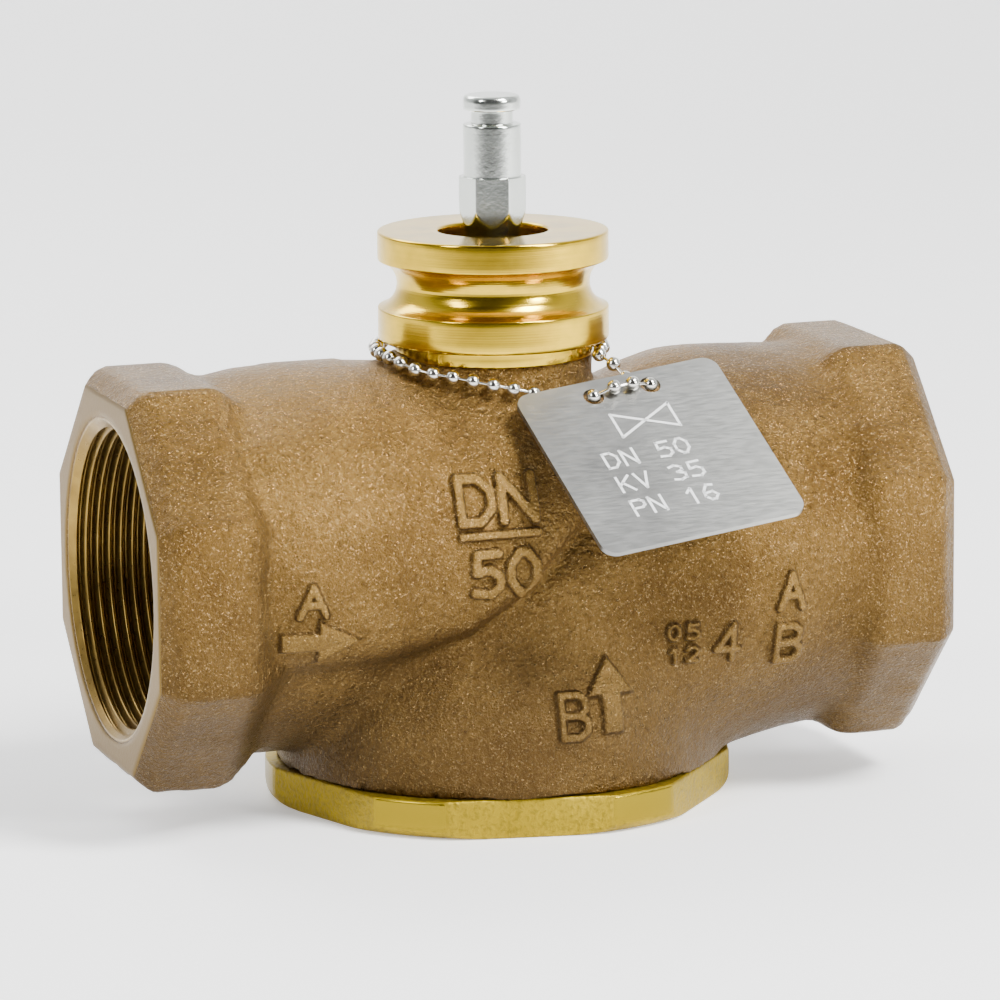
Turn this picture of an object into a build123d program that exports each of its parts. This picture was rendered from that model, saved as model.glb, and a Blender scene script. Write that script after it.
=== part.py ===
from build123d import *
import math
import os

# Zone valve, two inch, threaded ports, linear stem with a spool-shaped bonnet.
# Millimetres. +Z runs up the stem, +X from port A to port AB.
# The origin is the centre of the bottom cap's flat underside.

# ---- driving dimensions ----
PIPE_Z = 46.4              # height of the pipe axis above the cap's underside
FACE_A_X = -76.8           # left port face
FACE_AB_X = 80.6           # right port face
OCT_HALF_AF = 38.0         # half across flats of the end octagons
OCT_FACE_HALF = 34.8       # half across flats at the port face
OCT_FRONT = 3.4            # length of the front slope
OCT_FLATS_A = 14.2         # length of the flats, port A end
OCT_FLATS_AB = 13.0        # length of the flats, port AB end
OCT_REAR = 4.2             # length of the rear slope
TUBE_A_R = 36.15           # casting round the inlet chamber
TUBE_A_RISE = 2.5          # its centre above the pipe axis
REAR_TUBE_R = 34.5         # plain tube behind port A
TUBE_AB_R = 36.9           # casting round the outlet chamber
BOWL_R = 42.5              # bottom rim of the casting
BOWL_BOTTOM = -38.9        # rim height from the pipe axis
THREAD_R = 28.328          # minor radius of the two inch pipe thread
THREAD_MOUTH_R = 30.5      # radius of the mouth chamfer
THREAD_DEPTH = 24.5
NECK_R = 18.8
NECK_TOP = 38.6
NECK_BORE_R = 15.0
SEAT_BORE_R = 17.5
CAP_HALF_AF = 41.8
CAP_CORNER_R = 44.8
CAP_THICK = 7.5
BONNET_R = 22.0
BONNET_TOP = 62.3
BONNET_BORE_R = 10.47
GROOVE_R = 4.64            # radius of the groove's round section
GROOVE_Z = 52.3
STEM_R = 4.0
STEM_CLEARANCE = 0.06      # radial, every piece the stem slides in
COUPLING_R = 5.5
COUPLING_AF = 11.0
COUPLING_TOP = 88.0
PLUG_R = 20.5
TAG_SIZE = 42.0
TAG_THICK = 1.0
TAG_HOLE_R = 2.0
TAG_HOLE_DOWN = 4.0
TAG_HOLE_GAP = 11.9
BEAD_R = 1.42
BEAD_PITCH = 3.9
LINK_R = 0.30
LINK_BORE_R = 0.36

# tag pose: point midway between the holes, edge direction, outward normal
TAG_POINT = Vector(16.8, -24.95, PIPE_Z + 33.75)
TAG_ACROSS = Vector(0.988, 0.106, 0.113)
TAG_OUT = Vector(-0.029, -0.588, 0.808)
HINGE_LIFT = 0.6           # the beads in the holes sit this far in front of the plate

# the chain's way round the neck: angle in degrees, radius, height from the pipe axis
CHAIN_WAY = [
    (288.5, 23.9, 31.8),
    (278.5, 21.2, 33.4),
    (265.0, 21.0, 34.8),
    (254.0, 21.0, 35.6),
    (243.0, 21.1, 36.4),
    (232.0, 21.5, 37.2),
    (220.0, 22.2, 37.7),
    (210.0, 22.8, 38.3),
    (200.0, 22.9, 39.2),
    (190.0, 22.8, 39.7),
    (170.0, 22.6, 39.8),
    (90.0, 22.3, 39.4),
    (0.0, 21.0, 39.4),
    (-39.0, 20.6, 39.6),
    (-42.3, 23.8, 38.3),
    (-44.0, 26.4, 37.1),
    (-45.3, 29.7, 32.3),
]

LOW = (Align.CENTER, Align.CENTER, Align.MIN)
PARTS = "parts"


def rod(radius, low, high):
    """Upright cylinder between two heights measured from the pipe axis."""
    return Pos(0, 0, PIPE_Z + low) * Cylinder(radius, high - low, align=LOW)


def ring(outer, inner, low, high):
    return rod(outer, low, high) - rod(inner, low, high)


def turned(points):
    """Solid of revolution about the stem axis from (radius, height) points."""
    face = make_face(Polyline(*points, close=True))
    return Pos(0, 0, PIPE_Z) * revolve(Plane.XZ * face, axis=Axis.Z)


def turned_x(points):
    """Solid of revolution about the pipe axis from (x, radius) points."""
    face = make_face(Polyline(*points, close=True))
    return Pos(0, 0, PIPE_Z) * revolve(face, axis=Axis.X)


def hexagon(half_flats, low, high, turn=0):
    radius = half_flats / math.cos(math.pi / 6)
    sketch = Rot(0, 0, turn) * RegularPolygon(radius, 6)
    return Pos(0, 0, PIPE_Z + low) * extrude(sketch, high - low)


def octagon(x, half_flats):
    """Octagonal outline across the pipe at one x, flats top and bottom."""
    radius = half_flats / math.cos(math.pi / 8)
    outline = Rot(0, 0, 22.5) * RegularPolygon(radius, 8)
    return Plane(origin=(x, 0, PIPE_Z), x_dir=(0, 1, 0), z_dir=(1, 0, 0)) * outline


def circle_at(x, radius, height):
    place = Plane(origin=(x, 0, PIPE_Z + height), x_dir=(0, 1, 0), z_dir=(1, 0, 0))
    return place * Circle(radius)


def octagon_end(face_x, way, flats):
    """One threaded end: a sloped face, eight flats and a rear slope."""
    stations = [
        (0.0, OCT_FACE_HALF),
        (OCT_FRONT, OCT_HALF_AF),
        (OCT_FRONT + flats, OCT_HALF_AF),
        (OCT_FRONT + flats + OCT_REAR, OCT_FACE_HALF),
    ]
    outlines = [octagon(face_x + way * depth, half) for depth, half in stations]
    end = None
    for first, second in zip(outlines, outlines[1:]):
        piece = loft([first, second])
        end = piece if end is None else end + piece
    return end


def port_cut(face_x, way):
    mouth = THREAD_MOUTH_R - THREAD_R
    inner_x = face_x + way * THREAD_DEPTH
    return turned_x([
        (face_x - way, 0),
        (face_x - way, THREAD_MOUTH_R + 1),
        (face_x + way * mouth, THREAD_R),
        (inner_x, THREAD_R),
        (inner_x, 0),
    ])


def passage(stations):
    cut = None
    for first, second in zip(stations, stations[1:]):
        piece = loft([circle_at(*first), circle_at(*second)])
        cut = piece if cut is None else cut + piece
    return cut


def save(shape, node):
    export_step(shape, f"{PARTS}/{node}.step")


def group(solids):
    return Compound(children=solids)


# ---- casting ----
def valve_body():
    rear_a = FACE_A_X + OCT_FRONT + OCT_FLATS_A
    rear_ab = FACE_AB_X - OCT_FRONT - OCT_FLATS_AB
    rear_tube = turned_x([
        (rear_a - 1, 0),
        (rear_a - 1, REAR_TUBE_R - 0.5),
        (rear_a + 4, REAR_TUBE_R),
        (0, REAR_TUBE_R),
        (0, 0),
    ])
    tube_a = Pos(0, 0, TUBE_A_RISE) * turned_x([
        (rear_a + 2, 0),
        (rear_a + 2, TUBE_A_R - 1.5),
        (-46, TUBE_A_R),
        (-30, TUBE_A_R),
        (-18, TUBE_A_R - 0.9),
        (0, TUBE_A_R - 1.5),
        (10, TUBE_A_R - 6),
        (16, 20),
        (16, 0),
    ])
    tube_ab = turned_x([
        (-4, 0),
        (-4, TUBE_AB_R - 4),
        (8, TUBE_AB_R),
        (56, TUBE_AB_R),
        (rear_ab + 1, 34.5),
        (rear_ab + 1, 0),
    ])
    bowl = turned([
        (0, BOWL_BOTTOM),
        (BOWL_R, BOWL_BOTTOM),
        (BOWL_R, -25),
        (BOWL_R - 1, -16),
        (BOWL_R - 3, -8),
        (BOWL_R - 6.5, -1),
        (BOWL_R - 14, 8),
        (0, 16),
    ])
    neck = turned([
        (0, 20),
        (30, 20),
        (23, 28),
        (20.4, 30.9),
        (NECK_R, 33.6),
        (NECK_R, NECK_TOP),
        (0, NECK_TOP),
    ])
    middle = Pos(0, 0, PIPE_Z) * Sphere(38.0)
    body = rear_tube + tube_a + tube_ab + middle + bowl + neck
    body = body + octagon_end(FACE_A_X, 1, OCT_FLATS_A)
    body = body + octagon_end(FACE_AB_X, -1, OCT_FLATS_AB)

    body = body - port_cut(FACE_A_X, 1) - port_cut(FACE_AB_X, -1)
    body = body - passage([
        (FACE_A_X + THREAD_DEPTH, 24, 0),
        (-34, 15.5, 11),
        (-14, 10.4, 17.5),
    ])
    body = body - passage([
        (FACE_AB_X - THREAD_DEPTH, 24, 0),
        (36, 15.5, -12),
        (14, 11, -14),
    ])
    body = body - rod(20, 7, 28) - rod(25.5, BOWL_BOTTOM, -1)
    body = body - rod(21.05, -2, 8) - rod(NECK_BORE_R, 27, NECK_TOP + 1)
    return body - rod(33.05, BOWL_BOTTOM - 1, -29)


def seat_ring():
    return turned([
        (SEAT_BORE_R, -3),
        (23, -3),
        (23, -1.05),
        (21, -1.05),
        (21, 6.9),
        (SEAT_BORE_R + 1.5, 6.9),
        (SEAT_BORE_R, 5),
    ])


def bottom_cap():
    low = BOWL_BOTTOM - CAP_THICK
    flange = hexagon(CAP_HALF_AF, low, BOWL_BOTTOM, -10.4 + 60)
    corners = turned([
        (0, low),
        (CAP_CORNER_R - 3.0, low),
        (CAP_CORNER_R - 0.9, low + 0.9),
        (CAP_CORNER_R, low + 3.0),
        (CAP_CORNER_R, BOWL_BOTTOM - 0.6),
        (CAP_CORNER_R - 0.6, BOWL_BOTTOM),
        (0, BOWL_BOTTOM),
    ])
    cap = (flange & corners) + rod(33, BOWL_BOTTOM - 0.1, -30)
    cap = cap - rod(27, low + 4, -29)
    return cap - ring(38.0, 34.0, BOWL_BOTTOM - 0.8, BOWL_BOTTOM + 0.1)


def bonnet():
    spool = turned([
        (0, 10),
        (12, 10),
        (12, 28),
        (14.9, 28),
        (14.9, NECK_TOP),
        (18.87, NECK_TOP),
        (18.87, 41.4),
        (BONNET_R - 0.8, 41.4),
        (BONNET_R, 42.2),
        (BONNET_R, BONNET_TOP - 0.4),
        (BONNET_R - 0.4, BONNET_TOP),
        (0, BONNET_TOP),
    ])
    waist = BONNET_R + GROOVE_R - 3.6
    spool = spool - Pos(0, 0, PIPE_Z + GROOVE_Z) * Torus(waist, GROOVE_R)
    spool = spool - rod(BONNET_BORE_R, 37, BONNET_TOP + 1) - rod(9.5, 30, 38)
    spool = spool - rod(8, 12, 31) - rod(STEM_R + 0.4, 9, 13)
    return spool - ring(16, 13.6, 36, 37.8)


def packing_spring():
    wire = 0.65
    way = Helix(pitch=1.75, height=3.4, radius=6.0)
    section = Plane(origin=way @ 0, z_dir=way % 0) * Circle(wire)
    return Pos(0, 0, PIPE_Z + 18.75) * sweep(section, path=way)


def packing_v_rings():
    inner = STEM_R + STEM_CLEARANCE
    outer = 7.95
    middle = (inner + outer) / 2
    rings = []
    for index in range(3):
        low = 24.05 + 1.25 * index
        rings.append(turned([
            (inner, low),
            (middle, low + 0.8),
            (outer, low),
            (outer, low + 1.2),
            (middle, low + 2.0),
            (inner, low + 1.2),
        ]))
    return group(rings)


def packing_gland_nut():
    nut = ring(9.45, STEM_R + STEM_CLEARANCE, 30.05, 37)
    nut = nut - rod(7, 35.5, 38)
    for angle in (0, 180):
        hole = Rot(0, 0, angle) * Pos(8.2, 0, 0) * rod(0.8, 33, 38)
        nut = nut - hole
    return nut


# ---- moving stem ----
def stem():
    return turned([
        (0, -19.5),
        (3.1, -19.5),
        (3.5, -19.1),
        (3.5, -2),
        (STEM_R, -2),
        (STEM_R, 79.2),
        (STEM_R - 0.8, 80),
        (0, 80),
    ])


def stem_coupling():
    top = COUPLING_TOP
    low = turned([
        (0, 57.5),
        (4.7, 57.5),
        (4.7, 61),
        (6.4, 66),
        (6.4, 72.5),
        (0, 72.5),
    ])
    point = hexagon(COUPLING_AF / 2, 57, 72.5, 41)
    high = turned([
        (0, 72.4),
        (COUPLING_R, 72.4),
        (COUPLING_R, 82.5),
        (4.0, 82.5),
        (4.0, 85.1),
        (COUPLING_R - 0.1, 85.1),
        (COUPLING_R - 0.1, top - 0.9),
        (COUPLING_R - 1.0, top),
        (0, top),
    ])
    return (low & point) + high - rod(STEM_R + 0.02, 57, 80.1)


def valve_plug():
    plug = turned([
        (3.52, -13),
        (9, -13),
        (9, -9),
        (PLUG_R, -8),
        (PLUG_R, -3.1),
        (14.5, -3.1),
        (14.5, -6.2),
        (10.0, -6.2),
        (7.5, -3.2),
        (7.5, -2.05),
        (3.52, -2.05),
    ])
    return plug - ring(PLUG_R - 0.5, 14.4, -6.2, -3)


def seal_ring_set():
    return {
        "plug_soft_seal": ring(PLUG_R - 0.55, 15.1, -6.15, -3.1),
        "plug_seal_retainer": ring(15.0, 10.2, -6.15, -4.0),
        "plug_washer": ring(7.5, 3.55, -14.05, -13.05),
        "stem_o_ring": Pos(0, 0, PIPE_Z - 1.1) * Torus(STEM_R + 0.95, 0.9),
    }


def plug_nut():
    return hexagon(6.5, -18.6, -14.1) - rod(3.52, -19, -14)


# ---- tag and chain ----
def tag_place(right=0.0, down=0.0, out=0.0):
    """Point on the tag, measured from midway between its holes."""
    below = TAG_OUT.cross(TAG_ACROSS).normalized() * -1
    along = TAG_ACROSS.normalized() * right
    return TAG_POINT + along + below * down + TAG_OUT.normalized() * out


def id_tag():
    outline = RectangleRounded(TAG_SIZE, TAG_SIZE, 3.0)
    middle = TAG_HOLE_DOWN - TAG_SIZE / 2
    outline = Pos(0, middle) * outline
    for side in (-1, 1):
        outline = outline - Pos(side * TAG_HOLE_GAP / 2, 0) * Circle(TAG_HOLE_R)
    place = Plane(origin=TAG_POINT, x_dir=TAG_ACROSS, z_dir=TAG_OUT)
    plate = extrude(outline, TAG_THICK / 2, both=True)
    return place * plate


def chain_points():
    """Bead centres at one pitch along the way round the neck."""
    way = []
    for angle, radius, height in CHAIN_WAY:
        turn = math.radians(angle)
        way.append((angle, radius, height, turn))
    line = []
    for first, second in zip(way, way[1:]):
        steps = max(2, int(abs(first[0] - second[0])))
        for index in range(steps):
            share = index / steps
            turn = first[3] + share * (second[3] - first[3])
            radius = first[1] + share * (second[1] - first[1])
            height = first[2] + share * (second[2] - first[2])
            line.append(Vector(radius * math.cos(turn), radius * math.sin(turn), PIPE_Z + height))
    angle, radius, height, turn = way[-1]
    line.append(Vector(radius * math.cos(turn), radius * math.sin(turn), PIPE_Z + height))
    lengths = [(b - a).length for a, b in zip(line, line[1:])]
    count = round(sum(lengths) / BEAD_PITCH)
    pitch = sum(lengths) / count
    points = []
    walked = 0.0
    for (a, b), length in zip(zip(line, line[1:]), lengths):
        while len(points) * pitch <= walked + length + 1e-6 and len(points) <= count:
            share = (len(points) * pitch - walked) / length
            points.append(a + (b - a) * min(share, 1.0))
        walked += length
    return points


def tag_bead_points():
    half = TAG_HOLE_GAP / 2
    front = TAG_THICK / 2 + BEAD_R + 0.1
    return [
        tag_place(-half, 0, HINGE_LIFT),
        tag_place(-half + 4.0, 0, front),
        tag_place(half - 4.0, 0, front),
        tag_place(half, 0, HINGE_LIFT),
    ]


def bar(start, finish, radius):
    way = finish - start
    return Plane(origin=start, z_dir=way) * Cylinder(radius, way.length, align=LOW)


def beads_and_links(points):
    """Balls on a row of points, each bored for the pins that join them."""
    balls = []
    for index, point in enumerate(points):
        along = points[min(index + 1, len(points) - 1)] - points[max(index - 1, 0)]
        pole = along.cross(Vector(0, 0, 1))
        balls.append(Plane(origin=point, x_dir=pole.cross(along), z_dir=pole) * Sphere(BEAD_R))
    links = []
    for index, (a, b) in enumerate(zip(points, points[1:])):
        hole = bar(a, b, LINK_BORE_R)
        balls[index] = balls[index] - hole
        balls[index + 1] = balls[index + 1] - hole
        way = (b - a).normalized()
        links.append(bar(a + way * 0.8, b - way * 0.8, LINK_R))
    return balls, links


def single(shape):
    return shape.solids()[0]


os.makedirs(PARTS, exist_ok=True)

save(valve_body(), "valve_body")
save(seat_ring(), "seat_ring")
save(bottom_cap(), "bottom_cap")
save(ring(37.9, 34.1, BOWL_BOTTOM - 0.75, BOWL_BOTTOM - 0.02), "bottom_cap_gasket")
save(bonnet(), "bonnet")
save(Pos(0, 0, PIPE_Z + 36.9) * Torus(14.28, 0.64), "bonnet_o_ring")

BUSH_R = STEM_R + STEM_CLEARANCE
save(ring(7.97, BUSH_R, 12.02, 17), "guide_bush_lower")
save(ring(7.9, STEM_R + 0.4, 17.02, 18.02), "packing_washer_lower")
save(packing_spring(), "packing_spring")
save(ring(7.9, STEM_R + 0.4, 22.9, 23.95), "packing_washer_upper")
save(packing_v_rings(), "packing_v_rings")
save(ring(7.97, BUSH_R, 28.65, 30.0), "guide_bush_upper")
save(packing_gland_nut(), "packing_gland_nut")
save(ring(6.95, BUSH_R, 35.52, 36.9), "wiper_seal")

save(stem(), "stem")
save(stem_coupling(), "stem_coupling")
save(valve_plug(), "valve_plug")
for node, shape in seal_ring_set().items():
    save(shape, node)
save(plug_nut(), "plug_nut")

save(id_tag(), "id_tag")
centres = chain_points()
balls, links = beads_and_links(centres)
save(group([single(ball) for ball in balls]), "chain_beads")
save(group([single(link) for link in links]), "chain_links")
nearest_back = max(range(len(centres) - 1), key=lambda i: centres[i].Y + centres[i + 1].Y)
middle = (centres[nearest_back] + centres[nearest_back + 1]) * 0.5
way = (centres[nearest_back + 1] - centres[nearest_back]).normalized()
sleeve = bar(middle - way * 3.6, middle + way * 3.6, 1.75)
save(single(sleeve - bar(middle - way * 4, middle + way * 4, 1.42)), "chain_connector")
tag_balls, tag_links = beads_and_links(tag_bead_points())
save(group([single(ball) for ball in tag_balls]), "tag_chain_beads")
save(group([single(link) for link in tag_links]), "tag_chain_links")
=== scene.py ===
import math

import bmesh
import bpy
import numpy as np
from mathutils import Matrix, Vector


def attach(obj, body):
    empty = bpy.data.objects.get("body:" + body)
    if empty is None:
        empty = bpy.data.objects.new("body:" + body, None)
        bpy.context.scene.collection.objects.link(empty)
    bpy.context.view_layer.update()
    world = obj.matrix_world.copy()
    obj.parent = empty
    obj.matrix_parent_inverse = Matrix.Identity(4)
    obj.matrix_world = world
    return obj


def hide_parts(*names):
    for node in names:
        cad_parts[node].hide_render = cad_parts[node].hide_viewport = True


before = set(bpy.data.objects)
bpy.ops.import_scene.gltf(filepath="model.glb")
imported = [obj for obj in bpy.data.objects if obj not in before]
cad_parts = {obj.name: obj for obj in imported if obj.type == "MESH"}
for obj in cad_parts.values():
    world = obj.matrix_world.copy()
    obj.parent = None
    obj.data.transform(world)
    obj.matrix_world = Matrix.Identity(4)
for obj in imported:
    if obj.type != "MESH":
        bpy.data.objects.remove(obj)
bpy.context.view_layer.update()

MM = 0.001
PIPE_Z = 46.4              # pipe axis above the cap's underside, mm
FACE_A = -76.8
FACE_AB = 80.6
OCT_HALF = 38.0            # half across the end octagons' flats
FACE_HALF = 34.8           # the same at the port face
SLOPE_LENGTH = 3.4         # from the port face to the flats
BONNET_GROOVE_R = 4.64
TURN_STEPS = 256


# ---------------------------------------------------------------- meshes
def add_piece(name, points, faces, material, body="housing", stands_for=(), smooth=True):
    """Makes a mesh piece from points in millimetres measured from the pipe axis."""
    mesh = bpy.data.meshes.new(name)
    placed = (np.asarray(points, float) + (0, 0, PIPE_Z)) * MM
    mesh.from_pydata(placed.tolist(), [], [list(map(int, f)) for f in faces])
    mesh.validate()
    mesh.update()
    mesh.shade_smooth() if smooth else mesh.shade_flat()
    piece = bpy.data.objects.new(name, mesh)
    bpy.context.scene.collection.objects.link(piece)
    mesh.materials.append(material)
    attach(piece, body)
    if stands_for:
        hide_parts(*stands_for)
    return piece


def grid_faces(rows, columns, wrap_rows=False, wrap_columns=True):
    """Quads of a rows by columns grid, joined round where asked."""
    r = np.arange(rows if wrap_rows else rows - 1)
    c = np.arange(columns if wrap_columns else columns - 1)
    r, c = np.meshgrid(r, c, indexing="ij")
    r2, c2 = (r + 1) % rows, (c + 1) % columns
    quads = np.stack([r * columns + c, r * columns + c2, r2 * columns + c2, r2 * columns + c], -1)
    return quads.reshape(-1, 4)


def lathe(profile, steps=TURN_STEPS, radius_at=None, closed=True):
    """Turned surface: each (radius, height) of the profile swept round the stem axis.

    radius_at(radius, height, angle) may change the radius with the angle, as a hexagon does.
    A closed profile joins its last row to its first; its order is anticlockwise, so faces look out.
    """
    profile = np.asarray(profile, float)
    angle = np.linspace(0, 2 * np.pi, steps, endpoint=False)
    radius, turn = np.meshgrid(profile[:, 0], angle, indexing="ij")
    height = np.repeat(profile[:, 1:2], steps, axis=1)
    if radius_at:
        radius = radius_at(radius, height, turn)
    points = np.stack([radius * np.cos(turn), radius * np.sin(turn), height], -1).reshape(-1, 3)
    return points, grid_faces(len(profile), steps, wrap_rows=closed)


def rounded(points, size, steps=5):
    """The closed (radius, height) outline with each corner rounded by about one size."""
    points = np.asarray(points, float)
    sizes = np.broadcast_to(size, len(points))
    result = []
    for i, corner in enumerate(points):
        before, after = points[i - 1], points[(i + 1) % len(points)]
        a, b = before - corner, after - corner
        la, lb = np.hypot(*a), np.hypot(*b)
        cut = min(sizes[i], 0.45 * la, 0.45 * lb)
        if cut < 1e-4 or corner[0] < 0.02:
            result.append(corner)
            continue
        start, finish = corner + a / la * cut, corner + b / lb * cut
        for t in np.linspace(0, 1, steps):
            result.append((1 - t) ** 2 * start + 2 * t * (1 - t) * corner + t ** 2 * finish)
    return np.array(result)


def split_long(points, longest):
    """The same closed outline with extra points so no span is longer than asked."""
    result = []
    for a, b in zip(points, np.roll(points, -1, axis=0)):
        count = max(1, int(np.ceil(np.hypot(*(b - a)) / longest)))
        result.extend(a + (b - a) * t for t in np.arange(count) / count)
    return np.array(result)


# ---------------------------------------------------------------- casting
def soft_min(a, b, k):
    """The smaller of two distances, with the join between them rounded over a width k."""
    h = np.clip(0.5 + 0.5 * (b - a) / k, 0, 1)
    return b + (a - b) * h - k * h * (1 - h)


def soft_max(a, b, k):
    """The larger of two distances, rounded the same way."""
    return -soft_min(-a, -b, k)


def value_noise(p, size, seed):
    """Smooth noise from -1 to 1 at points p, on a lattice of one size, from a hashed lattice value."""
    q = p / size + 100.0
    base = np.floor(q)
    f = q - base
    f = f * f * (3 - 2 * f)
    total = np.zeros(len(p))
    for corner in range(8):
        d = np.array([(corner >> 2) & 1, (corner >> 1) & 1, corner & 1])
        n = (base + d) @ np.array([127.1, 311.7, 74.7]) + seed * 13.7
        value = np.modf(np.abs(np.sin(n) * 43758.5453))[0]
        weight = np.prod(np.where(d, f, 1 - f), axis=1)
        total += weight * value
    return total * 2 - 1


def octagon_end(p, face, way, flats):
    """Distance to one octagonal end: sloped face, flats, rear slope."""
    x = (p[:, 0] - face) * way
    angles = np.arange(8) * np.pi / 4
    across = np.max([p[:, 1] * np.cos(a) + p[:, 2] * np.sin(a) for a in angles], axis=0)
    slope = np.array([-3.2, 3.4]) / math.hypot(3.2, 3.4)
    front = x * slope[0] + (across - FACE_HALF) * slope[1]
    rear_x = x - SLOPE_LENGTH - flats
    rear = rear_x * 0.66 + (across - OCT_HALF) * 0.75
    side = soft_max(across - OCT_HALF, front, 0.9)
    side = soft_max(side, rear, 1.6)
    return np.maximum(soft_max(side, -x, 0.25), x - 26)


def tube(p, x0, x1, radius, centre):
    """Distance to a round tube along the pipe, with ball ends."""
    x = np.clip(p[:, 0], x0, x1)
    return np.sqrt((p[:, 0] - x) ** 2 + p[:, 1] ** 2 + (p[:, 2] - centre) ** 2) - radius


def capsule(p, start, finish, radius):
    """Distance to a round bar with ball ends between two points."""
    start, finish = np.array(start, float), np.array(finish, float)
    way = finish - start
    share = np.clip(((p - start) @ way) / (way @ way), 0, 1)
    return np.linalg.norm(p - start - share[:, None] * way, axis=1) - radius


def outside(p):
    """Distance to the casting's outer shape, from the stem axis on the pipe's line, in mm."""
    x, y, z = p.T
    out = np.hypot(x, y)
    rear = (np.hypot(y / 30.6, (z + 1.7) / 33.2) - 1) * 31.5
    rear = np.maximum(rear, np.maximum(-60 - x, x + 6))
    # inlet bulge: a tube lifted above the pipe's axis, cut back below along the crease
    upper = tube(p, -40, -6, np.interp(x, [-30, -18, 0], [36.15, 35.3, 34.7]), 2.5)
    inlet = np.hypot(y, z - 2.5) - np.interp(x, [-57, -50, -44], [34.6, 35.8, 36.15])
    inlet = np.maximum(inlet, np.maximum(-58 - x, x + 30))
    upper = soft_min(np.maximum(upper, -44 - x), inlet, 1.0)
    crease = np.interp(x, [-57, -33, -16, -8, -2, 4, 16], [-13.2, -12.4, -9.0, -4.0, 1.6, 8, 18])
    cut = 0.42 * (np.abs(y) - 31.5) - 0.91 * (z - crease)
    upper = soft_max(upper, cut, 2.4)
    # outlet side: bowl, elbow and straight tube
    right = tube(p, 41, 66, 36.9, -0.3)
    right = soft_max(right, x - 66, 1.0)
    elbow = capsule(p, (8, 0, -15), (42, 0, -1.5), 36.9)
    dome = (np.sqrt((out / 42.5) ** 2 + ((z + 30) / 31) ** 2) - 1) * 36
    bowl = np.where(z < -30, out - 42.5, dome)
    lower = soft_min(soft_min(bowl, elbow, 3.0), right, 5.0)
    lower = np.maximum(lower, x - 66)
    flare = out - np.interp(z, [24, 27.5, 30.9, 33.6, 39], [27, 23.2, 20.4, 18.8, 18.8])
    neck = np.maximum(flare, np.maximum(z - 38.6, 18 - z))
    body = soft_min(rear, upper, 2.0)
    body = soft_min(body, lower, 2.0)
    body = soft_min(body, neck, 5.0)
    left_end = octagon_end(p, FACE_A, 1, 14.2)
    right_end = octagon_end(p, FACE_AB, -1, 13.0)
    body = soft_min(body, left_end, 1.2)
    body = soft_min(body, right_end, 1.2)
    return soft_max(body, -38.9 - z, 0.6)


def waterway(p):
    """Distance to the open space inside: ports, passages, chambers and the neck's bore."""
    x, y, z = p.T
    ends = []
    for face, way in ((FACE_A, 1), (FACE_AB, -1)):
        depth = (x - face) * way
        across = np.hypot(y, z)
        bore = np.maximum(across - 30.2, depth - 24.6)
        mouth = np.maximum((across - 30.9 + depth) * 0.7071, depth - 2)
        ends.append(np.minimum(bore, mouth))
    ways = []
    for stations in (((-53, 24, 0), (-34, 15.5, 11), (-14, 10.4, 17.5)),
                     ((57, 24, 0), (36, 15.5, -12), (14, 11, -14))):
        xs, rs, zs = np.array(sorted(stations)).T
        way = np.hypot(y, z - np.interp(x, xs, zs)) - np.interp(x, xs, rs)
        ways.append(np.maximum(way, np.maximum(xs[0] - x, x - xs[-1])))
    out = np.hypot(x, y)
    upper = np.maximum(out - 20, np.maximum(7 - z, z - 28))
    lower = np.maximum(out - 25.5, z + 1)
    seat = np.maximum(out - 21.05, np.maximum(-2 - z, z - 8))
    neck = np.maximum(out - 15, 27 - z)
    base = np.maximum(out - 33.05, z + 29)
    open_space = np.minimum.reduce([*ends, seat, neck, base])
    flow = np.minimum.reduce([*ways, upper, lower])
    return soft_min(open_space, flow, 1.2)


def casting_field(p):
    """Outside less waterway, with a slight sand-cast waviness away from the machined faces."""
    x, z = p[:, 0], p[:, 2]
    body = soft_max(outside(p), -waterway(p), 0.5)
    rough = 0.16 * value_noise(p, 5.0, 1) + 0.09 * value_noise(p, 2.2, 2)
    raw = np.clip(np.minimum(x - FACE_A, FACE_AB - x) / 1.5, 0, 1) * np.clip((38.0 - z) / 1.5, 0, 1)
    return body + rough * raw


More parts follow.
